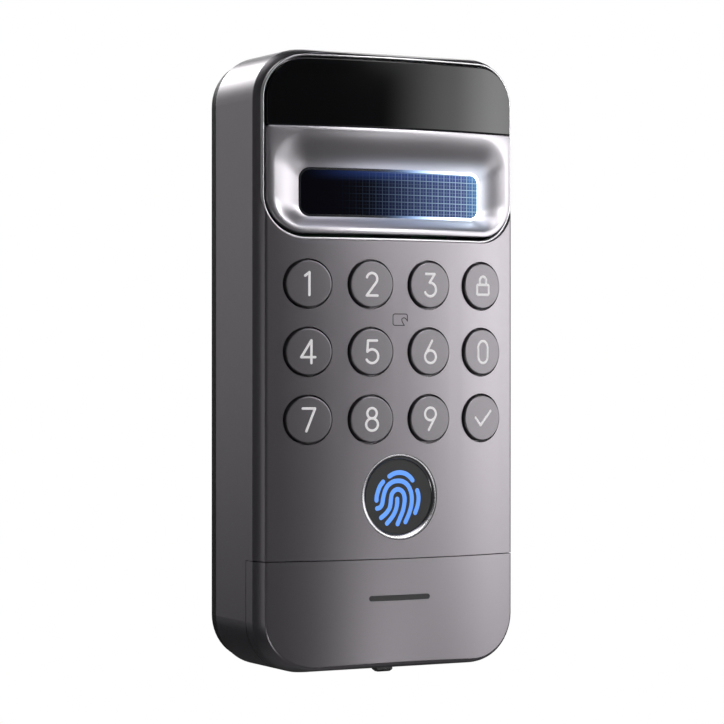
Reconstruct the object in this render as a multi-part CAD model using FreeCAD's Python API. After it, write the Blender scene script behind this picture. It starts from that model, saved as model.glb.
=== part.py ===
import FreeCAD, Part

import math
import os

# Keypad smart lock: wall plate, housing with keypad, face sensors and card reader, battery cover.
# Millimetres. Origin: centre of the wall plate's rear face. +Z up, the front faces -Y, the wall is Y = 0.

V = FreeCAD.Vector

# Body
WIDTH = 65.2
TOP_Z = 69.3
BOTTOM_Z = -69.3
CORNER_R = 11.5
DEPTH = 31.5                 # wall to the front face's crown
FRONT_R = 118.0              # the face bows about a vertical axis
HOUSING_REAR_D = 28.1        # depths (D) count back from the crown
CREASE_D = 8.4               # where the front cover meets the housing's flat walls
WALL = 2.2
FACE_T = 2.0
SKIRT_SIDE_R = 13.4          # curve of the cover's side skirt in plan
SKIRT_SIDE_START = 8.0       # its lean where it leaves the crease, degrees
SKIRT_END_R = 40.0           # flatter curve at the top and bottom
SKIRT_END_START = 4.0
FACE_EDGE_R = 0.8
SEAM_Z = -44.2               # between the front cover and the bottom cover
SEAM_GAP = 0.22
COVER_SIDE_D = 11.65         # the bottom cover's side walls end here
COVER_T = 1.8

# Keypad
KEY_PITCH = 15.0
KEY_TOP_ROW_Z = 17.0
KEY_ARC_PITCH = 14.78        # column spacing along the bowed face
KEY_HOLE_R = 5.6
KEY_R = 5.15
KEY_PROUD = 0.75
KEY_FLANGE_R = 6.3
KEY_STEM_R = 2.2
KEY_STEM_END_D = 7.0
KEY_TRAVEL = 0.5
KEY_ROWS = (("1", "2", "3", "lock"), ("4", "5", "6", "0"), ("7", "8", "9", "enter"))

# Upper module
OPENING_HALF = 31.95
OPENING_LOW_Z = 26.75
OPENING_HIGH_Z = 67.95
OPENING_LOW_R = 9.8
OPENING_HIGH_R = 10.0
TRIM_W = 0.5
TRIM_D = 0.9                  # the trim sits this far below the face
PANEL_HALF = 31.0
GLASS_LOW_Z = 51.95
GLASS_HIGH_Z = 66.85
GLASS_T = 1.5
GLASS_CORNER_R = 8.8
BEZEL_LOW_Z = 28.2
BEZEL_CORNER_R = 8.9
BEZEL_T = 3.7
DISH_HALF = 29.6
DISH_LOW_Z = 29.4
DISH_HIGH_Z = 50.9
DISH_CORNER_R = 7.0
WINDOW_HALF = 23.1
WINDOW_LOW_Z = 31.95
WINDOW_HIGH_Z = 42.9
WINDOW_CORNER_R = 2.6
WINDOW_D = 2.3               # recess below the bowed face
LENS_T = 1.2

# Fingerprint reader
SENSOR_Z = -30.4
SENSOR_RING_R = 9.6
SENSOR_DISC_R = 8.35
SENSOR_RECESS = 0.9

# Boards and battery
BOARD_T = 1.2
KEY_BOARD_D = 9.2
MAIN_BOARD_D = 17.0
MAIN_BOARD_HALF = 21.5
MAIN_BOARD_Z = (-36.0, 44.0)
BATTERY_HALF = 24.6
BATTERY_Z = (-65.6, -46.6)
BATTERY_D = (10.6, 24.0)
PARTITION_Z = (-45.2, -43.4)
CHEEK_X = BATTERY_HALF + 0.9
CHEEK_NOSE_Z = -64.6         # the cheeks' front noses stop clear of the bottom cover's floor

# Bottom cover details
BAR_Z = -52.9
BAR_HALF = 7.75
BAR_H = 1.25
TAB_D = 8.6
TAB_HALF = 2.0
TAB_PROUD = 0.9

# Wall plate
PLATE_INSET = 0.75
PLATE_T = 3.2
SCREW_SPACING_X = 36.0
SCREW_SPACING_Z = 96.0
SCREW_HOLE_R = 2.2
SCREW_RECESS_R = 4.2
SCREW_RECESS_DEPTH = 1.6
HOOK_X = 18.0
HOOK_Z = (44.0, -24.0)
HOOK_HALF = 3.0
HOOK_NECK_H = 2.4
HOOK_HEAD_H = 3.0
HOOK_HEAD_T = 1.6
PAD_HALF = 25.0
PAD_HEIGHT = 78.0
PAD_T = 0.8
FIT = 0.2                    # clearance between parts that slide past each other


def y_at(depth):
    """Y of a depth measured back from the crown of the face."""
    return depth - DEPTH


def box(x0, x1, y0, y1, z0, z1):
    return Part.makeBox(x1 - x0, y1 - y0, z1 - z0, V(x0, y0, z0))


def block(half, d0, d1, z0, z1, x=0.0):
    """A box centred on x, between two depths and two heights."""
    return box(x - half, x + half, y_at(d0), y_at(d1), z0, z1)


def rod(x, z, radius, d0, d1):
    """A round bar along Y between two depths."""
    return Part.makeCylinder(radius, d1 - d0, V(x, y_at(d0), z), V(0, 1, 0))


def fuse(shapes):
    shapes = list(shapes)
    whole = shapes[0].multiFuse(shapes[1:]) if len(shapes) > 1 else shapes[0]
    return whole.removeSplitter()


def cut(shape, tools):
    return shape.cut(Part.makeCompound(list(tools)))


def rounded_wire(half, z0, z1, r0, r1, y):
    """A rounded rectangle in the XZ plane: radius r0 at its low corners, r1 at its high ones."""
    s = math.sqrt(0.5)

    def p(x, z):
        return V(x, y, z)

    def arc(cx, cz, r, a, b, c):
        return Part.Arc(
            p(cx + r * a[0], cz + r * a[1]), p(cx + r * b[0], cz + r * b[1]), p(cx + r * c[0], cz + r * c[1])
        ).toShape()

    edges = [
        Part.makeLine(p(-half + r0, z0), p(half - r0, z0)),
        arc(half - r0, z0 + r0, r0, (0, -1), (s, -s), (1, 0)),
        Part.makeLine(p(half, z0 + r0), p(half, z1 - r1)),
        arc(half - r1, z1 - r1, r1, (1, 0), (s, s), (0, 1)),
        Part.makeLine(p(half - r1, z1), p(-half + r1, z1)),
        arc(-half + r1, z1 - r1, r1, (0, 1), (-s, s), (-1, 0)),
        Part.makeLine(p(-half, z1 - r1), p(-half, z0 + r0)),
        arc(-half + r0, z0 + r0, r0, (-1, 0), (-s, -s), (0, -1)),
    ]
    return Part.Wire(edges)


def slab(half, z0, z1, r0, r1, d0, d1):
    """A rounded-rectangle prism along Y."""
    face = Part.Face(rounded_wire(half, z0, z1, r0, r1, y_at(d0)))
    return face.extrude(V(0, d1 - d0, 0))


def bow(depth):
    """The vertical cylinder that the face bows on, a depth below the outer face."""
    height = 2 * TOP_Z + 20
    return Part.makeCylinder(FRONT_R - depth, height, V(0, y_at(FRONT_R), -height / 2), V(0, 0, 1))


def bowed(shape, depth0, depth1):
    """The part of a shape that lies between two depths below the bowed face."""
    return shape.common(bow(depth0)).cut(bow(depth1))


def sagitta(x, depth=0.0):
    """Depth of the bowed face, or of a surface below it, at a distance x from the middle."""
    radius = FRONT_R - depth
    return depth + radius - math.sqrt(radius * radius - x * x)


def skirt_inset(d, radius, start):
    """How far the skirt has curved in from the wall at a depth."""
    sine = math.sin(math.radians(start)) + (CREASE_D - d) / radius
    return radius * (math.cos(math.radians(start)) - math.sqrt(1 - sine * sine))


def body_wire(d, inset):
    """The body's outline at a depth, inset by a wall."""
    side = skirt_inset(d, SKIRT_SIDE_R, SKIRT_SIDE_START) + inset
    end = skirt_inset(d, SKIRT_END_R, SKIRT_END_START) + inset
    radius = CORNER_R - 0.6 * (side + end) / 2
    return rounded_wire(WIDTH / 2 - side, BOTTOM_Z + end, TOP_Z - end, radius, radius, y_at(d))


def skirt_solid(inset):
    """The curved front of the body, from the crease forward, before the face is bowed."""
    steps = (CREASE_D, 6.3, 4.2, 2.1, 0.0, -1.0)
    return Part.makeLoft([body_wire(d, inset) for d in steps], True, False)


def straight_solid(inset, d0, d1):
    """The flat-walled part of the body."""
    r = CORNER_R - inset
    return slab(WIDTH / 2 - inset, BOTTOM_Z + inset, TOP_Z - inset, r, r, d0, d1)


def face_edges(shape):
    """Edges where the skirt meets the bowed face."""
    found = []
    for edge in shape.Edges:
        mid = edge.valueAt((edge.FirstParameter + edge.LastParameter) / 2)
        ends = [v.Point for v in edge.Vertexes]
        reach = [math.hypot(p.x, p.y - y_at(FRONT_R)) for p in [mid] + ends]
        if all(abs(r - FRONT_R) < 1e-3 for r in reach):
            found.append(edge)
    return found


def front_shell():
    """Outer skin of the front: bowed face, rounded edge and skirt."""
    outer = skirt_solid(0.0).common(bow(0.0))
    outer = outer.makeFillet(FACE_EDGE_R, face_edges(outer))
    inner = skirt_solid(WALL - 0.2).common(bow(FACE_T))
    return outer, inner


def below(z):
    return box(-60, 60, -60, 60, -120, z)


def above(z):
    return box(-60, 60, -60, 60, z, 120)


def key_columns():
    return [FRONT_R * math.sin((i - 1.5) * KEY_ARC_PITCH / FRONT_R) for i in range(4)]


def key_places():
    for row, names in enumerate(KEY_ROWS):
        for x, name in zip(key_columns(), names):
            yield name, x, KEY_TOP_ROW_Z - row * KEY_PITCH


def key_posts():
    """Where the keypad board is screwed to the front cover, between four keys."""
    columns = key_columns()
    x = (columns[2] + columns[3]) / 2
    for side in (-x, x):
        for row in (0, 1):
            yield side, KEY_TOP_ROW_Z - (row + 0.5) * KEY_PITCH


LOW_BOSSES = ((-26.8, -38.0), (26.8, -38.0))
HIGH_BOSSES = ((-25.5, 48.0), (25.5, 48.0))
BOSS_R = 3.0
BOSS_FRONT_D = 12.0
HOUSING_SCREW_R = 1.25


def front_cover(outer, inner):
    shell = outer.cut(inner).cut(below(SEAM_Z + SEAM_GAP / 2))
    opening = slab(
        OPENING_HALF, OPENING_LOW_Z, OPENING_HIGH_Z, OPENING_LOW_R, OPENING_HIGH_R, -2.0, 6.6
    )
    posts = [rod(x, z, 2.0, 1.0, KEY_BOARD_D).common(bow(FACE_T / 2)) for x, z in key_posts()]
    posts += [rod(x, z, BOSS_R, 1.0, BOSS_FRONT_D).common(bow(FACE_T / 2)) for x, z in LOW_BOSSES]
    holes = [rod(x, z, KEY_HOLE_R, -1.0, 8.0) for _, x, z in key_places()]
    holes += [rod(x, z, 0.8, 4.5, KEY_BOARD_D + 1) for x, z in key_posts()]
    holes += [rod(x, z, HOUSING_SCREW_R, 6.5, BOSS_FRONT_D + 1) for x, z in LOW_BOSSES]
    holes.append(rod(0, SENSOR_Z, SENSOR_RING_R + 0.03, -1.0, 6.0))
    return cut(fuse([shell] + posts), holes + [opening])


def front_seal():
    """Gasket between the front cover and the housing, in the housing's rim."""
    d0, d1 = CREASE_D, CREASE_D + 1.0
    ring = straight_solid(0.9, d0, d1).cut(straight_solid(1.6, d0 - 1, d1 + 1))
    return ring.cut(below(SEAM_Z + 2.0))


def hook_slot(x, z):
    """Slot in the housing's back that drops over a wall-plate hook. z is the top of the hook's neck."""
    tall = HOOK_NECK_H + HOOK_HEAD_H + 1.0
    return block(HOOK_HALF + FIT, HOUSING_REAR_D - 4.0, HOUSING_REAR_D + 1, z - tall, z + 0.02, x)


def rear_housing():
    outer = straight_solid(0.0, CREASE_D, HOUSING_REAR_D)
    rim = [e for e in outer.Edges if all(abs(v.Point.y - y_at(HOUSING_REAR_D)) < 1e-6 for v in e.Vertexes)]
    outer = outer.makeFillet(0.7, rim)
    cavity = straight_solid(WALL, CREASE_D - 1, HOUSING_REAR_D - 2.0)
    lower = slab(40, -80, SEAM_Z, 1, 1, CREASE_D - 1, COVER_SIDE_D + SEAM_GAP)
    shell = cut(outer, [cavity, lower])
    bay = [
        block(WIDTH / 2 - 1.0, COVER_SIDE_D + SEAM_GAP, HOUSING_REAR_D - 1, *PARTITION_Z),
        block(WIDTH / 2 - COVER_T - 0.4, CREASE_D + 1.3, COVER_SIDE_D + 1, *PARTITION_Z),
    ]
    for x in (-CHEEK_X, CHEEK_X):
        bay.append(block(0.6, COVER_SIDE_D + SEAM_GAP, HOUSING_REAR_D - 1, BOTTOM_Z + 1, PARTITION_Z[1], x))
        bay.append(block(0.6, 9.0, COVER_SIDE_D + 1, CHEEK_NOSE_Z, PARTITION_Z[1], x))
    inside = straight_solid(0.5, CREASE_D, HOUSING_REAR_D - 0.5)
    bay = [b.common(inside) for b in bay]
    bosses = [rod(x, z, BOSS_R, BOSS_FRONT_D, HOUSING_REAR_D - 1) for x, z in LOW_BOSSES + HIGH_BOSSES]
    stands = [rod(x, z, 2.4, MAIN_BOARD_D + BOARD_T, HOUSING_REAR_D - 1) for x, z in board_corners()]
    holes = [rod(x, z, HOUSING_SCREW_R + 0.25, 5.0, HOUSING_REAR_D + 1) for x, z in LOW_BOSSES + HIGH_BOSSES]
    holes += [rod(x, z, 2.7, HOUSING_REAR_D - 1.8, HOUSING_REAR_D + 1) for x, z in LOW_BOSSES + HIGH_BOSSES]
    holes += [rod(x, z, 0.8, 15.0, MAIN_BOARD_D + 6.5) for x, z in board_corners()]
    holes += [hook_slot(x, z) for z in HOOK_Z for x in (-HOOK_X, HOOK_X)]
    holes += [block(1.6, 13.0, 18.0, -48.0, -40.0, x) for x in CONTACT_X]
    groove_d = CREASE_D + 1.05
    groove = straight_solid(0.85, CREASE_D - 1, groove_d).cut(straight_solid(1.65, CREASE_D - 2, groove_d + 1))
    holes.append(groove.cut(below(SEAM_Z + 1.9)))
    return cut(fuse([shell] + bay + bosses + stands), holes)


def board_corners():
    low, high = MAIN_BOARD_Z
    edge = 3.2
    x = MAIN_BOARD_HALF - edge
    return [(-x, low + edge), (x, low + edge), (-x, high - edge - 4), (x, high - edge - 4)]


def housing_screws():
    """Four screws from the back: two into the front cover, two into the sensor bracket."""
    screws = []
    for x, z in LOW_BOSSES + HIGH_BOSSES:
        tip = 8.0 if z < 0 else 9.5
        head = rod(x, z, 2.4, HOUSING_REAR_D - 1.8, HOUSING_REAR_D - 0.3)
        socket = block(0.4, HOUSING_REAR_D - 1.1, HOUSING_REAR_D, z - 1.5, z + 1.5, x)
        cross = block(1.5, HOUSING_REAR_D - 1.1, HOUSING_REAR_D, z - 0.4, z + 0.4, x)
        screws.append(cut(fuse([head, rod(x, z, HOUSING_SCREW_R, tip, HOUSING_REAR_D - 1.7)]), [socket, cross]))
    return Part.makeCompound(screws)


def opening_slab(inset, d0, d1):
    return slab(
        OPENING_HALF - inset, OPENING_LOW_Z + inset, OPENING_HIGH_Z - inset,
        OPENING_LOW_R - inset, OPENING_HIGH_R - inset, d0, d1,
    )


def display_trim():
    """Bright rim set in the cover's upper opening. It follows the face and stops at the skirt."""
    ring = opening_slab(0.05, -2.0, 6.5).cut(opening_slab(0.05 + TRIM_W, -3.0, 8.0))
    return bowed(ring, TRIM_D, TRIM_D + 1.7)


def glass_panel():
    body = slab(PANEL_HALF, GLASS_LOW_Z, GLASS_HIGH_Z, 0.6, GLASS_CORNER_R, -2.0, 9.0).common(bow(0.0))
    rim = [e for e in face_edges(body)]
    try:
        body = body.makeFillet(0.25, rim)
    except Part.OCCError:
        pass
    return body.cut(bow(GLASS_T))


def dish_tool():
    """The flared pocket: cones about the bow's axis above and below, flat slopes at the ends."""
    floor_r = FRONT_R - WINDOW_D
    outer_r = FRONT_R + 0.5
    grow = 0.5 / WINDOW_D
    top = DISH_HIGH_Z + (DISH_HIGH_Z - WINDOW_HIGH_Z) * grow
    low = DISH_LOW_Z - (WINDOW_LOW_Z - DISH_LOW_Z) * grow
    axis_y = y_at(FRONT_R)
    points = [(floor_r, WINDOW_LOW_Z), (outer_r, low), (outer_r, top), (floor_r, WINDOW_HIGH_Z)]
    wire = Part.makePolygon([V(0, axis_y - r, z) for r, z in points + points[:1]])
    sweep = Part.Face(wire).revolve(V(0, axis_y, 0), V(0, 0, 1), 40)
    sweep.rotate(V(0, axis_y, 0), V(0, 0, 1), -20)
    pocket = slab(DISH_HALF, DISH_LOW_Z, DISH_HIGH_Z, DISH_CORNER_R, DISH_CORNER_R, -3.0, 9.0)
    return sweep.common(pocket).common(end_slopes())


def end_slopes():
    """Prism whose two ends lean from the window's short sides out to the dish's rim."""
    foot_d = sagitta(WINDOW_HALF, WINDOW_D)
    rim_d = sagitta(DISH_HALF)
    lean = (foot_d - rim_d) / (DISH_HALF - WINDOW_HALF)
    outer = DISH_HALF + 4.0
    outer_d = rim_d - 4.0 * lean
    half = [(WINDOW_HALF - 0.5, 9.0), (WINDOW_HALF, foot_d), (outer, outer_d), (outer, -4.0)]
    plan = [V(x, y_at(d), 20.0) for x, d in half] + [V(-x, y_at(d), 20.0) for x, d in reversed(half)]
    return Part.Face(Part.makePolygon(plan + plan[:1])).extrude(V(0, 0, 40.0))


def window_slab(inset, d0, d1):
    return slab(
        WINDOW_HALF - inset, WINDOW_LOW_Z + inset, WINDOW_HIGH_Z - inset,
        WINDOW_CORNER_R - inset, WINDOW_CORNER_R - inset, d0, d1,
    )


def dish_bezel():
    high = GLASS_LOW_Z - 0.15
    body = slab(PANEL_HALF, BEZEL_LOW_Z, high, BEZEL_CORNER_R, 0.6, -2.0, 12.0)
    ledges = [block(1.3, 6.5, 12.0, BEZEL_LOW_Z - 1, high + 1, x) for x in (-31.2, 31.2)]
    return cut(bowed(body, 0.0, BEZEL_T), ledges + [dish_tool(), window_slab(0.0, -2, 12)])


def light_guide():
    """Clear rim round the window: a lip flush with the lens and a flange behind the bezel."""
    lip = bowed(window_slab(0.04, -2, 12), WINDOW_D, BEZEL_T + 1.0)
    flange = bowed(window_slab(-2.0, -2, 12), BEZEL_T + 0.05, BEZEL_T + 1.0)
    return fuse([lip, flange]).cut(window_slab(0.55, -3, 13))


def window_lens():
    return bowed(window_slab(0.6, -2, 12), WINDOW_D + 0.05, WINDOW_D + LENS_T)


def display_panel():
    return block(21.5, 7.2, 8.2, WINDOW_LOW_Z + 1.2, WINDOW_HIGH_Z - 1.2)


def light_board():
    """Board behind the window, with a row of light emitters above and below the panel."""
    board = block(24.0, 8.6, 8.6 + BOARD_T, 29.5, 45.2)
    lamps = [
        block(0.8, 7.9, 8.6, z - 0.5, z + 0.5, x)
        for z in (WINDOW_LOW_Z - 0.6, WINDOW_HIGH_Z + 0.6)
        for x in (-20.0, -12.0, -4.0, 4.0, 12.0, 20.0)
    ]
    return fuse([board] + lamps)


def sensor_bracket():
    """Moulded frame behind the glass and the bezel: carries both and the sensor boards."""
    plate = block(28.0, 10.4, 11.9, 29.0, 64.0)
    bosses = [rod(x, z, BOSS_R, 9.8, 11.95) for x, z in HIGH_BOSSES]
    legs = [block(1.0, sagitta(28.5, BEZEL_T), 11.0, z - 4, z + 4, x) for z in (38.0, 58.0) for x in (-27.5, 27.5)]
    holes = [rod(x, z, HOUSING_SCREW_R, 9.0, 13.0) for x, z in HIGH_BOSSES]
    holes.append(block(14.0, 10.0, 12.5, 33.0, 42.0))
    holes.append(block(18.0, 10.0, 12.5, 55.0, 61.0))
    return cut(fuse([plate] + bosses + legs), holes)


CAMERA_BOARD_D = 9.0
CAMERA_Z = 59.4


def camera_board():
    return block(23.0, CAMERA_BOARD_D, CAMERA_BOARD_D + BOARD_T, 53.2, 65.2)


def sensor_module(x, half, height, front_d, lens_r):
    """A square sensor can with a round lens barrel, looking forward from the camera board."""
    can = block(half, front_d + 1.6, CAMERA_BOARD_D, CAMERA_Z - height / 2, CAMERA_Z + height / 2, x)
    barrel = rod(x, CAMERA_Z, lens_r, front_d, CAMERA_BOARD_D - 0.5)
    return fuse([can, barrel]).cut(rod(x, CAMERA_Z, lens_r * 0.6, front_d - 1, front_d + 0.5))


def make_key(x, z):
    """A push key: bowed cap, retaining flange behind the cover, stem over its dome."""
    cap = rod(x, z, KEY_R, -3.0, 7.0).common(bow(-KEY_PROUD))
    cap = cap.makeFillet(0.28, [e for e in cap.Edges if is_cap_rim(e)])
    cap = cap.cut(block(20, sagitta(abs(x) + KEY_R, FACE_T), 20, z - 20, z + 20, x))
    flange_back = sagitta(abs(x) + KEY_R, FACE_T) + 1.0
    flange = rod(x, z, KEY_FLANGE_R, 0.0, flange_back).common(bow(FACE_T + 0.05))
    stem = rod(x, z, KEY_STEM_R, flange_back - 0.5, KEY_STEM_END_D)
    return fuse([cap, flange, stem])


def is_cap_rim(edge):
    mid = edge.valueAt((edge.FirstParameter + edge.LastParameter) / 2)
    on_bow = abs(math.hypot(mid.x, mid.y - y_at(FRONT_R)) - FRONT_R - KEY_PROUD) < 1e-3
    return on_bow and edge.Length > 10


def key_mat():
    """Silicone sheet with a hollow dome under each key, drawn at the domes' pressed height."""
    d0 = KEY_BOARD_D - 0.6
    sheet = block(28.0, d0, KEY_BOARD_D, -20.5, 24.5)
    domes = [rod(x, z, 3.4, KEY_STEM_END_D + KEY_TRAVEL + 0.1, KEY_BOARD_D) for _, x, z in key_places()]
    hollows = [rod(x, z, 2.7, KEY_BOARD_D - 0.7, KEY_BOARD_D + 1) for _, x, z in key_places()]
    return cut(fuse([sheet] + domes), hollows + [rod(x, z, 2.6, 5.0, 12.0) for x, z in key_posts()])


def key_switches():
    """Metal snap domes on the keypad board, one under each key."""
    ball_r = 7.0
    rise = 0.4
    domes = []
    for _, x, z in key_places():
        ball = Part.makeSphere(ball_r, V(x, y_at(KEY_BOARD_D - rise + ball_r), z))
        domes.append(ball.common(rod(x, z, 2.3, KEY_BOARD_D - 2, KEY_BOARD_D)))
    return Part.makeCompound(domes)


def keypad_board():
    board = block(28.0, KEY_BOARD_D, KEY_BOARD_D + BOARD_T, -20.5, 24.5)
    return cut(board, [rod(x, z, 1.0, 5.0, 15.0) for x, z in key_posts()])


def card_antenna():
    """Flat reader coil on the back of the keypad board."""
    d0 = KEY_BOARD_D + BOARD_T
    coil = slab(26.0, -18.5, 22.5, 3.0, 3.0, d0, d0 + 0.3)
    return coil.cut(slab(20.5, -13.0, 17.0, 2.0, 2.0, d0 - 1, d0 + 1))


def board_screws():
    screws = []
    for x, z in key_posts():
        back = KEY_BOARD_D + BOARD_T
        screws.append(fuse([rod(x, z, 1.7, back, back + 1.0), rod(x, z, 0.8, 5.0, back + 0.1)]))
    for x, z in board_corners():
        front = MAIN_BOARD_D
        screws.append(fuse([rod(x, z, 1.7, front - 1.0, front), rod(x, z, 0.8, front - 0.1, front + 6.0)]))
    return Part.makeCompound(screws)


def main_board():
    board = block(MAIN_BOARD_HALF, MAIN_BOARD_D, MAIN_BOARD_D + BOARD_T, *MAIN_BOARD_Z)
    return cut(board, [rod(x, z, 1.0, 10.0, 20.0) for x, z in board_corners()])


def board_chips():
    """Processor, memory, radio can and power parts, on both faces of the main board."""
    front = [(-8, 22, 6, 6, 1.4), (7, 24, 4.5, 5, 1.0), (12, 8, 3, 3, 1.0), (-12, 4, 5, 4, 1.8), (0, -10, 7, 6, 2.2)]
    chips = [block(w, MAIN_BOARD_D - t, MAIN_BOARD_D, z - h, z + h, x) for x, z, w, h, t in front]
    rear_d = MAIN_BOARD_D + BOARD_T
    rear = [(-6, -18, 3, 3, 2.5), (6, -16, 4, 4, 3.0), (10, 16, 3, 4, 1.5)]
    chips += [block(w, rear_d, rear_d + t, z - h, z + h, x) for x, z, w, h, t in rear]
    return Part.makeCompound(chips)


RIBBON_X = 10.0


def board_ribbon():
    """Flat ribbon between the keypad board and the main board, with a plug block at each end."""
    half = 4.0
    d0 = KEY_BOARD_D + BOARD_T
    plug_a = block(half + 1, d0, d0 + 1.4, -12.5, -9.5)
    plug_b = block(half + 1, MAIN_BOARD_D - 1.4, MAIN_BOARD_D, -32.5, -29.5, RIBBON_X)
    plug_a.translate(V(RIBBON_X, 0, 0))
    t = 0.25
    run_a = block(half, d0 + 1.4, d0 + 1.4 + t, -31.0, -9.5, RIBBON_X)
    run_b = block(half, d0 + 1.4, MAIN_BOARD_D - 1.4, -31.0, -31.0 + t, RIBBON_X)
    return fuse([plug_a, plug_b, run_a, run_b])


def fingerprint_ring():
    """Bevelled ring that holds the sensor, with a retaining flange behind the cover."""
    tube = rod(0, SENSOR_Z, SENSOR_RING_R, -1.0, 5.0).common(bow(-0.12))
    flange = rod(0, SENSOR_Z, 11.2, sagitta(11.2, FACE_T), 4.0)
    bevel = Part.makeCone(
        SENSOR_RING_R - 0.25, SENSOR_DISC_R + 0.12, SENSOR_RECESS + 0.35,
        V(0, y_at(-0.25), SENSOR_Z), V(0, 1, 0),
    )
    bore = rod(0, SENSOR_Z, SENSOR_DISC_R + 0.04, -2.0, 3.0)
    seat = rod(0, SENSOR_Z, SENSOR_DISC_R - 0.8, 2.0, 6.0)
    return cut(fuse([tube, flange]), [bevel, bore, seat])


def fingerprint_sensor():
    return rod(0, SENSOR_Z, SENSOR_DISC_R, SENSOR_RECESS, 3.0)


def fingerprint_board():
    """Reader board behind the sensor, with its contact block."""
    board = rod(0, SENSOR_Z, 10.0, 5.0, 6.0)
    post = rod(0, SENSOR_Z, 5.0, 3.0, 5.2)
    return fuse([board, post])


def speaker():
    z = 54.0
    can = rod(0, z, 9.0, HOUSING_REAR_D - 6.5, HOUSING_REAR_D - 2.0)
    cone = Part.makeCone(7.5, 4.0, 1.4, V(0, y_at(HOUSING_REAR_D - 6.5), z), V(0, 1, 0))
    return can.cut(cone)


def battery_pack():
    low, high = BATTERY_Z
    front, back = BATTERY_D
    pack = slab(BATTERY_HALF, low, high, 2.0, 2.0, front, back)
    long_edges = [e for e in pack.Edges if e.Length > 30]
    return pack.makeFillet(1.5, long_edges)


CONTACT_X = (-8.0, 0.0, 8.0)


def battery_contacts():
    """Three spring blades that come down through the partition on to the pack."""
    blades = []
    for x in CONTACT_X:
        leg = block(1.0, 15.0, 15.3, BATTERY_Z[1] + 0.3, PARTITION_Z[1] + 5.0, x)
        foot = block(1.0, 13.4, 15.3, BATTERY_Z[1], BATTERY_Z[1] + 0.3, x)
        arm = block(1.0, 15.0, MAIN_BOARD_D, PARTITION_Z[1] + 5.0, PARTITION_Z[1] + 5.3, x)
        top = block(1.0, MAIN_BOARD_D - 0.3, MAIN_BOARD_D, PARTITION_Z[1] + 5.0, MAIN_BOARD_Z[0] + 2.0, x)
        blades.append(fuse([leg, foot, arm, top]))
    return Part.makeCompound(blades)


USB_X = 14.0


def usb_board():
    return block(7.0, 9.1, 10.1, -56.5, PARTITION_Z[0], USB_X)


def usb_socket():
    """Charging socket, facing down under the bottom cover."""
    half, thick = 4.5, 3.2
    shell = block(half, 9.1 - thick, 9.1, -56.0, -48.8, USB_X)
    ends = [e for e in shell.Edges if abs(e.Length - 7.2) < 0.01]
    shell = shell.makeFillet(1.3, ends)
    mouth = block(half - 0.35, 9.1 - thick + 0.35, 9.1 - 0.35, -57.0, -50.0, USB_X)
    mouth = mouth.makeFillet(1.1, [e for e in mouth.Edges if abs(e.Length - 7.0) < 0.01])
    tongue = block(3.3, 9.1 - thick / 2 - 0.35, 9.1 - thick / 2 + 0.35, -55.4, -49.5, USB_X)
    return fuse([shell.cut(mouth), tongue])


def bay_seal():
    """Soft seal on the partition's front edge, behind the bottom cover's top edge."""
    return block(24.0, 8.6, CREASE_D + 1.3, PARTITION_Z[0] + 0.3, PARTITION_Z[1] - 0.3)


def bottom_cover(outer, inner):
    """Slide-down cover: bowed front, wrapping sides and floor, two tongues and two guide ribs."""
    d1 = COVER_SIDE_D
    skin = fuse([outer, straight_solid(0.0, CREASE_D, d1)])
    hollow_front = skirt_solid(COVER_T).common(bow(COVER_T))
    hollow = fuse([hollow_front, straight_solid(COVER_T, CREASE_D, d1 + 1)])
    shell = skin.cut(hollow).cut(above(SEAM_Z - SEAM_GAP / 2))
    parts = [shell]
    for x in (-16.0, 16.0):
        root = bowed(block(4.0, 0.0, 8.0, SEAM_Z - 2.4, SEAM_Z - SEAM_GAP / 2, x), COVER_T - 0.2, 3.3)
        tongue = bowed(block(4.0, 0.0, 8.0, SEAM_Z - 1.0, SEAM_Z + 2.8, x), FACE_T + 0.15, 3.3)
        parts += [root, tongue]
    for x in (-27.8, 27.8):
        parts.append(bowed(block(0.6, 0.0, 11.0, -62.0, -47.0, x), COVER_T - 0.3, 9.0))
    parts += tab_guide()
    pill = slab(BAR_HALF, BAR_Z - BAR_H / 2, BAR_Z + BAR_H / 2, 0.62, 0.62, -1.0, 6.0)
    tab_hole = block(TAB_HALF + 0.1, TAB_D - 1.3, TAB_D + 1.3, BOTTOM_Z - 1, BOTTOM_Z + 2.5)
    return cut(fuse(parts), [pill, tab_hole])


def tab_guide():
    """Bridge over the release tab that its spring bears on."""
    z0 = BOTTOM_Z + 1.0
    legs = [block(0.5, 7.0, 10.2, z0, -61.6, x) for x in (-3.9, 3.9)]
    return legs + [block(4.4, 7.0, 10.2, -62.6, -61.6)]


def indicator_bar():
    """Dark light bar set flush in the bottom cover."""
    pill = slab(BAR_HALF - 0.03, BAR_Z - BAR_H / 2 + 0.03, BAR_Z + BAR_H / 2 - 0.03, 0.59, 0.59, -1.0, 6.0)
    back = slab(BAR_HALF + 1.0, BAR_Z - 1.6, BAR_Z + 1.6, 1.0, 1.0, -1.0, 6.0)
    return fuse([bowed(pill, 0.03, COVER_T + 0.8), bowed(back, COVER_T + 0.02, COVER_T + 0.8)])


def release_tab():
    """Small push tab through the cover's floor."""
    low = BOTTOM_Z - TAB_PROUD
    stem = block(TAB_HALF, TAB_D - 1.2, TAB_D + 1.2, low, BOTTOM_Z + COVER_T + 0.4)
    stem = stem.makeChamfer(0.5, [e for e in stem.Edges if all(abs(v.Point.z - low) < 1e-6 for v in e.Vertexes)])
    flange = block(TAB_HALF + 0.9, TAB_D - 1.5, TAB_D + 1.5, BOTTOM_Z + COVER_T + 0.2, BOTTOM_Z + COVER_T + 0.9)
    pin = Part.makeCylinder(0.6, 1.6, V(0, y_at(TAB_D), BOTTOM_Z + COVER_T + 0.8), V(0, 0, 1))
    return fuse([stem, flange, pin])


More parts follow.
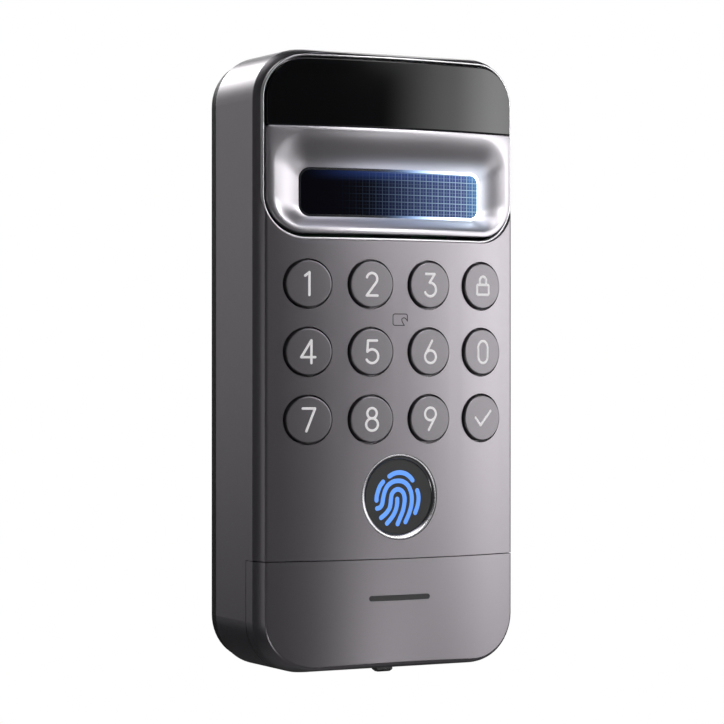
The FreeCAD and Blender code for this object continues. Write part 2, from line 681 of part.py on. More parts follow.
SPRING_LOW_Z = BOTTOM_Z + COVER_T + 0.9
SPRING_HIGH_Z = -62.6


def tab_spring():
    """Coil spring that pushes the release tab back down."""
    wire_r = 0.2
    mean_r = 1.1
    low = SPRING_LOW_Z + wire_r + 0.01
    high = SPRING_HIGH_Z - wire_r - 0.01
    helix = Part.makeHelix(0.95, high - low, mean_r)
    ring = Part.Wire(Part.makeCircle(wire_r, V(mean_r, 0, 0), V(0, 1, 0)))
    spring = Part.Wire(helix).makePipeShell([ring], True, True)
    spring.translate(V(0, y_at(TAB_D), low))
    return spring


def wall_plate():
    """Plate screwed to the wall, with four hooks that the housing drops over."""
    half = WIDTH / 2 - PLATE_INSET
    r = CORNER_R - PLATE_INSET
    d0 = DEPTH - PLATE_T
    plate = slab(half, BOTTOM_Z + PLATE_INSET, TOP_Z - PLATE_INSET, r, r, d0, DEPTH)
    rim = [e for e in plate.Edges if all(abs(v.Point.y - y_at(d0)) < 1e-6 for v in e.Vertexes)]
    plate = plate.makeFillet(0.5, rim)
    hooks = []
    for z in HOOK_Z:
        for x in (-HOOK_X, HOOK_X):
            head_d = HOUSING_REAR_D - 2.0 - FIT - HOOK_HEAD_T
            hooks.append(block(HOOK_HALF, head_d, d0 + 1, z - HOOK_NECK_H, z, x))
            hooks.append(block(HOOK_HALF, head_d, head_d + HOOK_HEAD_T, z - HOOK_NECK_H, z + HOOK_HEAD_H, x))
    holes = []
    for x in (-SCREW_SPACING_X / 2, SCREW_SPACING_X / 2):
        for z in (-SCREW_SPACING_Z / 2, SCREW_SPACING_Z / 2):
            holes.append(rod(x, z, SCREW_HOLE_R, d0 - 1, DEPTH + 1))
            holes.append(rod(x, z, SCREW_RECESS_R, d0 - 1, d0 + SCREW_RECESS_DEPTH))
    recess = pad_slab(0.0, DEPTH - PAD_T, DEPTH + 1)
    return cut(fuse([plate] + hooks), holes + [recess])


def pad_slab(inset, d0, d1):
    return slab(PAD_HALF - inset, -PAD_HEIGHT / 2 + inset, PAD_HEIGHT / 2 - inset, 3.0, 3.0, d0, d1)


def adhesive_pad():
    """Double-sided foam pad in the wall plate's recess, level with its rear face."""
    return pad_slab(0.2, DEPTH - PAD_T, DEPTH)


def build():
    outer, inner = front_shell()
    nodes = {
        "wall_plate": wall_plate(),
        "adhesive_pad": adhesive_pad(),
        "rear_housing": rear_housing(),
        "front_cover": front_cover(outer, inner),
        "front_seal": front_seal(),
        "housing_screws": housing_screws(),
        "display_trim": display_trim(),
        "glass_panel": glass_panel(),
        "dish_bezel": dish_bezel(),
        "light_guide": light_guide(),
        "window_lens": window_lens(),
        "display_panel": display_panel(),
        "light_board": light_board(),
        "sensor_bracket": sensor_bracket(),
        "camera_board": camera_board(),
        "infrared_camera": sensor_module(-15.0, 4.0, 8.0, 3.2, 3.0),
        "proximity_sensor": sensor_module(-5.5, 2.2, 4.0, 3.6, 1.3),
        "flood_illuminator": sensor_module(4.0, 2.8, 5.0, 3.4, 1.9),
        "dot_projector": sensor_module(15.0, 3.4, 7.0, 3.2, 2.4),
        "keypad_board": keypad_board(),
        "key_mat": key_mat(),
        "key_switches": key_switches(),
        "card_antenna": card_antenna(),
        "main_board": main_board(),
        "board_chips": board_chips(),
        "board_screws": board_screws(),
        "board_ribbon": board_ribbon(),
        "fingerprint_ring": fingerprint_ring(),
        "fingerprint_sensor": fingerprint_sensor(),
        "fingerprint_board": fingerprint_board(),
        "speaker": speaker(),
        "battery_pack": battery_pack(),
        "battery_contacts": battery_contacts(),
        "usb_board": usb_board(),
        "usb_socket": usb_socket(),
        "bay_seal": bay_seal(),
        "bottom_cover": bottom_cover(outer, inner),
        "indicator_bar": indicator_bar(),
        "release_tab": release_tab(),
        "tab_spring": tab_spring(),
    }
    for name, x, z in key_places():
        nodes["key_" + name] = make_key(x, z)
    return nodes


os.makedirs("parts", exist_ok=True)
for node, shape in build().items():
    if not shape.isValid():
        print("not valid:", node)
    print(node, len(shape.Solids), round(shape.Volume, 2))
    shape.exportStep(os.path.join("parts", node + ".step"))
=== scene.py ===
import logging
import math
from dataclasses import dataclass
from enum import Enum
from typing import ClassVar, Protocol, Sequence

import bpy
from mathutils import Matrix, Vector


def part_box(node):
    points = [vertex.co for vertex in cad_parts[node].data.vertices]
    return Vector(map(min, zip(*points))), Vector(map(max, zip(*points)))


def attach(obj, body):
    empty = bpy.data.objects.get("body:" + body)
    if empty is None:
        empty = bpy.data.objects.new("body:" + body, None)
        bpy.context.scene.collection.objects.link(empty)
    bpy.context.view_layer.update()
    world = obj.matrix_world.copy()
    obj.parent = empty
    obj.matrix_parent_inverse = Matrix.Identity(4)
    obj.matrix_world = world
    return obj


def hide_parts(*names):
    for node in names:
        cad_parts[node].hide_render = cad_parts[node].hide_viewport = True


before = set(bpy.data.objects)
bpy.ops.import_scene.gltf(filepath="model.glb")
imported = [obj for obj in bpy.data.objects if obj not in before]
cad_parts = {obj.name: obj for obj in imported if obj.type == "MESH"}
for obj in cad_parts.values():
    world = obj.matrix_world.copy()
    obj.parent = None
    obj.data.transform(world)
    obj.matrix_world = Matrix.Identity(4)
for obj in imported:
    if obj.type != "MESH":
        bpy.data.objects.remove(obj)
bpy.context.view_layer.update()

LOG = logging.getLogger("keypad_lock")
MM = 0.001
Colour = tuple[float, float, float]
Point2 = tuple[float, float]
Socket = bpy.types.NodeSocket


# ---------------------------------------------------------------- node helpers


class Nodes:
    """Short calls for building a node tree."""

    def __init__(self, tree: bpy.types.NodeTree) -> None:
        """Keeps the tree that the calls add to."""
        self.tree = tree

    def add(self, kind: str, **settings: object) -> bpy.types.Node:
        """Adds one node.

        Args:
            kind: the node's type name.
            settings: attributes to set on it.

        Returns:
            The new node.
        """
        node = self.tree.nodes.new(kind)
        for key, value in settings.items():
            setattr(node, key, value)
        return node

    def feed(self, socket: Socket, value: object) -> None:
        """Links a socket to another, or sets it to a plain value.

        Args:
            socket: the input to fill.
            value: an output socket, a number, a vector or a colour.
        """
        if isinstance(value, bpy.types.NodeSocket):
            self.tree.links.new(value, socket)
        elif isinstance(value, tuple) and socket.type == "RGBA":
            socket.default_value = (*value[:3], 1.0)
        else:
            socket.default_value = value

    def math(self, operation: str, *values: object, clamp: bool = False) -> Socket:
        """One Math node.

        Args:
            operation: the node's operation.
            values: its inputs, sockets or numbers.
            clamp: keeps the result between 0 and 1.

        Returns:
            The result.
        """
        node = self.add("ShaderNodeMath", operation=operation, use_clamp=clamp)
        for socket, value in zip(node.inputs, values):
            self.feed(socket, value)
        return node.outputs[0]


class Shader(Nodes):
    """A surface material whose patterns all come from the object's coordinates."""

    def __init__(self, name: str) -> None:
        """Starts a surface material.

        Args:
            name: the material's name.
        """
        self.material = bpy.data.materials.new(name)
        self.material.use_nodes = True
        super().__init__(self.material.node_tree)
        self.bsdf = self.tree.nodes["Principled BSDF"]
        self.coords = self.add("ShaderNodeTexCoord").outputs["Object"]

    def surface(self, **values: object) -> None:
        """Fills the shader's sockets.

        Args:
            values: socket names with underscores for spaces, and what feeds them.
        """
        for key, value in values.items():
            self.feed(self.bsdf.inputs[key.replace("_", " ")], value)

    def axes(self) -> tuple[Socket, Socket, Socket]:
        """Splits the object's coordinates.

        Returns:
            X, Y and Z in metres.
        """
        split = self.add("ShaderNodeSeparateXYZ")
        self.feed(split.inputs[0], self.coords)
        return split.outputs[0], split.outputs[1], split.outputs[2]

    def span(self, value: Socket, low: float, high: float) -> Socket:
        """Eases from 0 at low to 1 at high.

        Args:
            value: the socket to map.
            low: where the result is 0.
            high: where the result is 1.

        Returns:
            The mapped value.
        """
        node = self.add("ShaderNodeMapRange", interpolation_type="SMOOTHSTEP")
        for socket, number in zip(node.inputs, (value, low, high, 0.0, 1.0)):
            self.feed(socket, number)
        return node.outputs[0]

    def noise(self, scale: float, detail: float = 2.0, stretch: Colour = (1.0, 1.0, 1.0)) -> Socket:
        """Noise on the object's coordinates.

        Args:
            scale: features per metre.
            detail: octaves.
            stretch: scale along each axis.

        Returns:
            The noise value, 0 to 1.
        """
        mapping = self.add("ShaderNodeMapping")
        self.feed(mapping.inputs["Vector"], self.coords)
        self.feed(mapping.inputs["Scale"], stretch)
        node = self.add("ShaderNodeTexNoise")
        self.feed(node.inputs["Vector"], mapping.outputs[0])
        self.feed(node.inputs["Scale"], scale)
        self.feed(node.inputs["Detail"], detail)
        return node.outputs[0]

    def mix(self, factor: object, a: object, b: object) -> Socket:
        """Mixes two colours.

        Args:
            factor: 0 gives a, 1 gives b.
            a: first colour.
            b: second colour.

        Returns:
            The mixed colour.
        """
        node = self.add("ShaderNodeMixRGB")
        for socket, value in zip(node.inputs, (factor, a, b)):
            self.feed(socket, value)
        return node.outputs[0]

    def bump(self, height: Socket, depth: float, strength: float) -> None:
        """Turns the surface's normal by a height pattern.

        Args:
            height: the pattern, 0 to 1.
            depth: its full height in metres.
            strength: how much of it shows.
        """
        node = self.add("ShaderNodeBump")
        self.feed(node.inputs["Strength"], strength)
        self.feed(node.inputs["Distance"], depth)
        self.feed(node.inputs["Height"], height)
        self.feed(self.bsdf.inputs["Normal"], node.outputs[0])


def shade(colour: Colour, factor: float) -> Colour:
    """A lighter or darker version of a colour."""
    return tuple(c * factor for c in colour)


# ---------------------------------------------------------------- shapes


@dataclass(frozen=True)
class BowedFace:
    """The face's surface: an arc about a vertical axis behind it."""

    crown: float = -31.5 * MM
    radius: float = 118.0 * MM

    def at(self, x: float, z: float, depth: float) -> Vector:
        """A point on or behind the face.

        Args:
            x: across, as seen straight on.
            z: height.
            depth: distance behind the face.

        Returns:
            The point in the lock's frame.
        """
        reach = self.radius - depth
        return Vector((x, self.crown + self.radius - math.sqrt(reach * reach - x * x), z))


def arc(x: float, z: float, rx: float, rz: float, start: float, end: float, steps: int = 16) -> list[Point2]:
    """Points on an elliptical arc.

    Args:
        x: centre.
        z: centre.
        rx: radius across.
        rz: radius up.
        start: first angle in degrees.
        end: last angle in degrees.
        steps: number of pieces.

    Returns:
        The points, both ends included.
    """
    angles = [math.radians(start + (end - start) * i / steps) for i in range(steps + 1)]
    return [(x + rx * math.cos(a), z + rz * math.sin(a)) for a in angles]


def toward(a: Point2, b: Point2, share: float) -> Point2:
    """The point a share of the way from one point to another."""
    return (a[0] + (b[0] - a[0]) * share, a[1] + (b[1] - a[1]) * share)


def through(*points: Point2, steps: int = 6) -> list[Point2]:
    """A smooth path through points.

    Args:
        points: the points to pass through.
        steps: pieces between two of them.

    Returns:
        The path.
    """
    ends = [points[0], *points, points[-1]]
    path: list[Point2] = []
    for a, b, c, d in zip(ends, ends[1:], ends[2:], ends[3:]):
        for i in range(steps):
            t = i / steps
            path.append(tuple(
                0.5 * (2 * b[k] + (c[k] - a[k]) * t + (2 * a[k] - 5 * b[k] + 4 * c[k] - d[k]) * t ** 2
                       + (3 * b[k] - a[k] - 3 * c[k] + d[k]) * t ** 3)
                for k in (0, 1)
            ))
    return path + [points[-1]]


@dataclass(frozen=True)
class Outline:
    """A rectangle with rounded corners, seen straight on."""

    half: float
    low: float
    high: float
    low_radius: float
    high_radius: float

    def points(self, side: int = 24, corner: int = 14) -> list[Point2]:
        """Walks round the outline.

        Args:
            side: steps on each straight side.
            corner: steps on each corner.

        Returns:
            Points from the lower right corner, anticlockwise.
        """
        corners = (
            (self.half - self.low_radius, self.low + self.low_radius, self.low_radius, -90),
            (self.half - self.high_radius, self.high - self.high_radius, self.high_radius, 0),
            (-self.half + self.high_radius, self.high - self.high_radius, self.high_radius, 90),
            (-self.half + self.low_radius, self.low + self.low_radius, self.low_radius, 180),
        )
        bends = [arc(x, z, r, r, start, start + 90, corner) for x, z, r, start in corners]
        path: list[Point2] = []
        for bend, after in zip(bends, bends[1:] + bends[:1]):
            path += bend + [toward(bend[-1], after[0], i / side) for i in range(1, side)]
        return path

    def inset(self, by: float) -> "Outline":
        """The same outline moved inwards."""
        radii = (max(r - by, 0.05 * MM) for r in (self.low_radius, self.high_radius))
        return Outline(self.half - by, self.low + by, self.high - by, *radii)


def new_object(
    name: str, verts: Sequence[Vector], edges: Sequence[tuple], faces: Sequence[tuple]
) -> bpy.types.Object:
    """Makes a mesh object at the origin.

    Args:
        name: its name.
        verts: its points.
        edges: its loose edges.
        faces: its faces.

    Returns:
        The object, linked to the scene.
    """
    mesh = bpy.data.meshes.new(name)
    mesh.from_pydata(verts, edges, faces)
    mesh.update()
    piece = bpy.data.objects.new(name, mesh)
    bpy.context.scene.collection.objects.link(piece)
    return piece


FACE = BowedFace()
WINDOW = Outline(23.1 * MM, 31.95 * MM, 42.9 * MM, 2.6 * MM, 2.6 * MM)


# ---------------------------------------------------------------- finishes


class Finish(Protocol):
    """Anything that can make a material."""

    def build(self) -> bpy.types.Material:
        """Makes the material."""


@dataclass(frozen=True)
class Moulded:
    """Plastic, rubber or foam with a fine grain and a slight drift of shade."""

    name: str
    colour: Colour
    roughness: float = 0.5
    grain: float = 9000.0
    grain_depth: float = 0.00002
    drift: float = 0.12
    gloss_spread: float = 0.12

    def build(self) -> bpy.types.Material:
        """Makes the material.

        Returns:
            The new material.
        """
        s = Shader(self.name)
        darker, lighter = shade(self.colour, 1 - self.drift), shade(self.colour, 1 + self.drift)
        least = self.roughness - self.gloss_spread / 2
        s.surface(
            Base_Color=s.mix(s.noise(60.0, 3.0), darker, lighter),
            Roughness=s.math("MULTIPLY_ADD", s.noise(400.0), self.gloss_spread, least),
        )
        s.bump(s.noise(self.grain, 1.0), self.grain_depth, 0.5)
        return s.material


FLAKE_DEPTH = 0.004 * MM
BRUSH_DEPTH = 0.002 * MM


@dataclass(frozen=True)
class MetallicPaint:
    """Satin lacquer over a fine metallic flake."""

    name: str
    colour: Colour
    roughness: float = 0.36
    metallic: float = 0.8
    flake: float = 14000.0
    gloss_spread: float = 0.05

    def build(self) -> bpy.types.Material:
        """Makes the material.

        Returns:
            The new material.
        """
        s = Shader(self.name)
        sparkle = s.noise(self.flake, 1.0)
        least = self.roughness - self.gloss_spread / 2
        s.surface(
            Base_Color=s.mix(sparkle, shade(self.colour, 0.92), shade(self.colour, 1.08)),
            Metallic=self.metallic,
            Roughness=s.math("MULTIPLY_ADD", s.noise(900.0), self.gloss_spread, least),
        )
        s.bump(sparkle, FLAKE_DEPTH, 0.2)
        return s.material


@dataclass(frozen=True)
class BareMetal:
    """Bright or satin metal with fine lines along one axis."""

    name: str
    colour: Colour
    roughness: float = 0.25
    grain: Colour = (1.0, 1.0, 40.0)
    gloss_spread: float = 0.06

    def build(self) -> bpy.types.Material:
        """Makes the material.

        Returns:
            The new material.
        """
        s = Shader(self.name)
        lines = s.noise(600.0, 3.0, self.grain)
        least = self.roughness - self.gloss_spread / 2
        s.surface(
            Base_Color=s.mix(lines, shade(self.colour, 0.94), self.colour),
            Metallic=1.0,
            Roughness=s.math("MULTIPLY_ADD", lines, self.gloss_spread, least),
        )
        s.bump(lines, BRUSH_DEPTH, 0.2)
        return s.material


@dataclass(frozen=True)
class BlackGlass:
    """Polished black panel with a faint wipe pattern in its gloss."""

    name: str
    colour: Colour = (0.003, 0.003, 0.0035)
    roughness: float = 0.04
    gloss_spread: float = 0.04
    specular: float = 0.62

    def build(self) -> bpy.types.Material:
        """Makes the material.

        Returns:
            The new material.
        """
        s = Shader(self.name)
        wipes = s.noise(35.0, 4.0, (1.0, 1.0, 2.5))
        s.surface(
            Base_Color=s.mix(s.noise(90.0), self.colour, shade(self.colour, 1.4)),
            Roughness=s.math("MULTIPLY_ADD", wipes, self.gloss_spread, self.roughness),
            Specular_IOR_Level=self.specular,
        )
        return s.material


@dataclass(frozen=True)
class LitMark:
    """A glowing mark whose light drifts a little across it: a real lamp on the fingerprint, painted glow on
    the key marks.
    """

    name: str
    colour: Colour
    strength: float = 1.0
    body: float = 0.12

    def build(self) -> bpy.types.Material:
        """Makes the material.

        Returns:
            The new material.
        """
        s = Shader(self.name)
        drift = s.noise(160.0)
        unlit = shade(self.colour, self.body)
        s.surface(
            Base_Color=s.mix(drift, shade(unlit, 0.9), shade(unlit, 1.1)),
            Roughness=0.5,
            Emission_Color=s.mix(drift, shade(self.colour, 0.88), shade(self.colour, 1.06)),
            Emission_Strength=self.strength,
        )
        return s.material


@dataclass(frozen=True)
class EdgeGlow:
    """Clear rim that is dark at one end and lit white-blue at the other."""

    name: str = "lit_rim"
    dark_x: float = -8.0 * MM
    full_x: float = 22.9 * MM
    blue: Colour = (0.18, 0.42, 1.0)
    white: Colour = (0.75, 0.88, 1.0)
    strength: float = 6.0
    body: Colour = (0.012, 0.014, 0.018)

    def build(self) -> bpy.types.Material:
        """Makes the material.

        Returns:
            The new material.
        """
        s = Shader(self.name)
        along = s.span(s.axes()[0], self.dark_x, self.full_x)
        s.surface(
            Base_Color=s.mix(s.noise(300.0), shade(self.body, 0.85), shade(self.body, 1.15)),
            Roughness=0.25,
            Emission_Color=s.mix(along, self.blue, self.white),
            Emission_Strength=s.math("MULTIPLY", s.math("POWER", along, 2.0), self.strength),
        )
        return s.material


@dataclass(frozen=True)
class StudioFloor:
    """Pale floor, as bright to the camera as in full light, that throws little light back up."""

    name: str = "floor_paint"
    colour: Colour = (0.3, 0.3, 0.3)
    paleness: float = 0.62
    glow: Colour = (1.0, 1.0, 1.0)

    def build(self) -> bpy.types.Material:
        """Makes the material.

        Returns:
            The new material.
        """
        s = Shader(self.name)
        path = s.add("ShaderNodeLightPath")
        drift = s.noise(3.0)
        s.surface(
            Base_Color=s.mix(drift, shade(self.colour, 0.97), shade(self.colour, 1.03)),
            Roughness=0.8,
            Emission_Color=s.mix(drift, shade(self.glow, 0.97), self.glow),
            Emission_Strength=s.math("MULTIPLY", path.outputs["Is Camera Ray"], self.paleness),
        )
        return s.material


@dataclass(frozen=True)
class SilverWithPaintedGlow:
    """Satin silver with a painted blue-white glow round one end of a lit slot: the slot's light falling on
    the silver, painted as emission.
    """

    name: str = "silver_with_painted_glow"
    colour: Colour = (0.50, 0.48, 0.51)
    roughness: float = 0.32
    metallic: float = 0.9
    flake: float = 14000.0
    slot: Outline = WINDOW
    # Colours, reach and strength of the painted glow: emission that stands in for the slot's light on the
    # silver.
    painted_glow: Colour = (0.36, 0.52, 1.0)
    bright_painted_glow: Colour = (0.7, 0.82, 1.0)
    reach: float = 4.4 * MM
    strength: float = 0.42

    def painted_glow_shape(self, s: Shader, along: Socket) -> Socket:
        """Falls from 1 at the slot's lit end to 0 at the painted glow's reach.

        Args:
            s: the shader being built.
            along: 0 at the slot's dark end, 1 at its lit end.

        Returns:
            The painted glow's share of its full strength.
        """
        x, _, z = s.axes()
        middle = (self.slot.low + self.slot.high) / 2
        off = s.math("ABSOLUTE", s.math("SUBTRACT", z, middle))
        side = s.math("MAXIMUM", s.math("SUBTRACT", s.math("ABSOLUTE", x), self.slot.half), 0.0)
        up = s.math("MAXIMUM", s.math("SUBTRACT", off, self.slot.high - middle), 0.0)
        gap = s.math("SQRT", s.math("MULTIPLY_ADD", side, side, s.math("MULTIPLY", up, up)))
        near = s.math("POWER", s.math("SUBTRACT", 1.0, s.span(gap, 0.0, self.reach)), 2.0)
        return s.math("MULTIPLY", near, along)

    def build(self) -> bpy.types.Material:
        """Makes the material.

        Returns:
            The new material.
        """
        s = Shader(self.name)
        along = s.span(s.axes()[0], -self.slot.half, self.slot.half)
        sparkle = s.noise(self.flake, 1.0)
        s.surface(
            Base_Color=s.mix(sparkle, shade(self.colour, 0.92), shade(self.colour, 1.08)),
            Metallic=self.metallic,
            Roughness=self.roughness,
            # Painted glow: emission brightest next to the slot's lit end, in place of its light falling on
            # the silver.
            Emission_Color=s.mix(along, self.painted_glow, self.bright_painted_glow),
            Emission_Strength=s.math("MULTIPLY", self.painted_glow_shape(s, along), self.strength),
        )
        s.bump(sparkle, FLAKE_DEPTH, 0.2)
        return s.material


@dataclass(frozen=True)
class LitGrid:
    """Black window with a fine square grid behind it, lit from one end and along the top."""

    name: str = "lit_grid"
    pane: Outline = WINDOW.inset(0.6 * MM)
    pitch: float = 1.62 * MM
    line: float = 0.125 * MM
    base: Colour = (0.001, 0.001, 0.002)
    deep: Colour = (0.006, 0.02, 0.09)
    pale: Colour = (0.42, 0.62, 0.80)
    blue: Colour = (0.045, 0.10, 0.40)
    cyan: Colour = (0.03, 0.30, 0.75)
    fine_share: float = 0.32
    end_share: float = 0.5
    top_share: float = 0.35
    top_band: float = 2.6 * MM

    def lines(self, s: Shader, place: Socket, pitch: float) -> Socket:
        """Soft lines across one axis.

        Args:
            s: the shader being built.
            place: position along the axis.
            pitch: distance between lines.

        Returns:
            1 on a line's middle, 0 away from it.
        """
        away = s.math("PINGPONG", place, pitch / 2)
        return s.math("SUBTRACT", 1.0, s.span(away, self.line * 0.2, self.line))

    def grid(self, s: Shader, pitch: float) -> Socket:
        """Lines across both axes, 1 on the lines."""
        x, _, z = s.axes()
        return s.math("MAXIMUM", self.lines(s, x, pitch), self.lines(s, z, pitch))

    def build(self) -> bpy.types.Material:
        """Makes the material.

        Returns:
            The new material.
        """
        s = Shader(self.name)
        x, _, z = s.axes()
        half, high = self.pane.half, self.pane.high
        along = s.span(x, -0.85 * half, half)
        fine = s.math("MULTIPLY", self.grid(s, self.pitch / 2), self.fine_share)
        grid = s.math("MAXIMUM", self.grid(s, self.pitch), fine)
        lit = s.math("MULTIPLY", grid, s.math("POWER", along, 1.2))
        end = s.math("MULTIPLY", s.span(x, -0.4 * half, half), self.end_share)
        top = s.math("MULTIPLY", s.span(z, high - self.top_band, high), s.span(x, -half, 0.0))
        glow = s.math("MULTIPLY_ADD", top, self.top_share, end, clamp=True)
        tint = s.mix(s.span(x, 0.8 * half, half), self.blue, self.cyan)
        s.surface(
            Base_Color=s.mix(s.noise(200.0), self.base, shade(self.base, 1.5)),
            Roughness=0.12,
            Specular_IOR_Level=0.2,
            Emission_Color=s.mix(lit, s.mix(glow, self.base, tint), s.mix(along, self.deep, self.pale)),
            Emission_Strength=1.0,
        )
        return s.material


# ---------------------------------------------------------------- display dish and its trim

Loop = tuple[list[Point2], float]


def middle_height(node: str) -> float:
    """Height of a CAD node's middle."""
    low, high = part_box(node)
    return (low[2] + high[2]) / 2


def front_of(node: str) -> float:
    """Y of a CAD node's foremost point."""
    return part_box(node)[0][1]


def bowed_ring(name: str, face: BowedFace, loops: Sequence[Loop], finish: Finish) -> bpy.types.Object:
    """Joins outlines at given depths into one closed ring.

    Args:
        name: the piece's name.
        face: the surface that depths are measured from.
        loops: outlines with the same number of points, each with its depth, in order round the section.
        finish: the ring's finish.

    Returns:
        The object, riding on the housing.
    """
    verts = [face.at(x, z, depth) for outline, depth in loops for x, z in outline]
    count = len(loops[0][0])
    faces = []
    for k in range(len(loops)):
        a, b = k * count, (k + 1) % len(loops) * count
        faces += [(a + i, a + (i + 1) % count, b + (i + 1) % count, b + i) for i in range(count)]
    ring_piece = new_object(name, verts, [], faces)
    ring_piece.data.shade_smooth()
    ring_piece.data.set_sharp_from_angle(angle=math.radians(50))
    ring_piece.data.materials.append(finish.build())
    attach(ring_piece, "housing")
    return ring_piece


@dataclass
class DisplayTrim:
    """Bright half-round rim round the upper opening."""

    face: BowedFace
    outer: Outline = Outline(31.88 * MM, 26.82 * MM, 67.88 * MM, 9.75 * MM, 9.95 * MM)
    width: float = 0.56 * MM
    depth: float = 0.85 * MM
    rise: float = 0.2 * MM
    back: float = 2.5 * MM
    steps: int = 8

    def build(self, finish: Finish) -> bpy.types.Object:
        """Makes the rim in place of the plain one.

        Args:
            finish: its finish.

        Returns:
            The object.
        """
        loops = [(self.outer.points(), self.back)]
        for i in range(self.steps + 1):
            a = math.pi * i / self.steps
            outline = self.outer.inset(self.width * (1 - math.cos(a)) / 2)
            loops.append((outline.points(), self.depth - self.rise * math.sin(a)))
        loops.append((self.outer.inset(self.width).points(), self.back))
        trim = bowed_ring("display_rim", self.face, loops, finish)
        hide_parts("display_trim")
        return trim


@dataclass
class SensorRing:
    """Shallow bevelled ring round the fingerprint sensor."""

    face: BowedFace
    middle: float = middle_height("fingerprint_sensor")
    outer: float = 9.6 * MM
    edge: float = 0.16 * MM
    inner: float = 8.45 * MM
    lip: float = 0.12 * MM
    slope: float = 0.5 * MM
    back: float = 1.6 * MM
    points: int = 96

    def circle(self, radius: float) -> list[Point2]:
        """A circle about the sensor's middle."""
        turns = [math.tau * i / self.points for i in range(self.points)]
        return [(radius * math.cos(a), self.middle + radius * math.sin(a)) for a in turns]

    def build(self, finish: Finish) -> bpy.types.Object:
        """Makes the ring in place of the plain one.

        Args:
            finish: its finish.

        Returns:
            The object.
        """
        profile = [
            (self.outer, self.back),
            (self.outer, self.lip + self.edge),
            (self.outer - self.edge * 0.3, self.lip + self.edge * 0.3),
            (self.outer - self.edge, self.lip),
            (self.inner + self.edge, self.slope),
            (self.inner, self.slope + self.edge),
            (self.inner, self.back),
        ]
        loops = [(self.circle(radius), depth) for radius, depth in profile]
        rim = bowed_ring("sensor_ring", self.face, loops, finish)
        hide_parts("fingerprint_ring")
        return rim


@dataclass
class DisplayDish:
    """Satin bezel whose flared pocket leads down to the window."""

    face: BowedFace
    outer: Outline = Outline(31.0 * MM, 28.2 * MM, 51.8 * MM, 8.5 * MM, 0.6 * MM)
    rim: Outline = Outline(29.6 * MM, 29.4 * MM, 50.9 * MM, 7.0 * MM, 7.0 * MM)
    window: Outline = WINDOW
    depth: float = 2.3 * MM
    back: float = 3.7 * MM
    edge: float = 0.18 * MM
    rings: int = 18

    def slope(self, t: float) -> float:
        """Share of the full depth at a share of the way in."""
        return 0.5 * t + 0.5 * t * t * (3.0 - 2.0 * t)

    def loops(self) -> list[Loop]:
        """Walks the section from the back edge over the rim to the window's foot.

        Returns:
            The outlines with their depths.
        """
        rim, window = self.rim.points(), self.window.points()
        loops = [(self.outer.points(), self.back), (self.outer.points(), self.edge)]
        for angle in (30, 60, 90):
            a = math.radians(angle)
            outline = self.outer.inset(self.edge * (1 - math.cos(a)))
            loops.append((outline.points(), self.edge * (1 - math.sin(a))))
        for i in range(self.rings + 1):
            t = i / self.rings
            loops.append(([toward(a, b, t) for a, b in zip(rim, window)], self.depth * self.slope(t)))
        return loops + [(window, self.back)]

    def build(self, finish: Finish) -> bpy.types.Object:
        """Makes the bezel in place of the plain one.

        Args:
            finish: its finish.

        Returns:
            The object.
        """
        dish = bowed_ring("display_dish", self.face, self.loops(), finish)
        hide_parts("dish_bezel")
        return dish


# ---------------------------------------------------------------- marks drawn with strokes


@dataclass(frozen=True)
class Stroke:
    """One line of a mark, in millimetres from the mark's middle."""

    points: Sequence[Point2]
    closed: bool = False


def line(*points: Point2) -> Stroke:
    """A stroke of straight pieces."""
    return Stroke(points)


def ring(x: float, z: float, rx: float, rz: float) -> Stroke:
    """A closed oval stroke."""
    return Stroke(arc(x, z, rx, rz, 0, 345, 23), True)


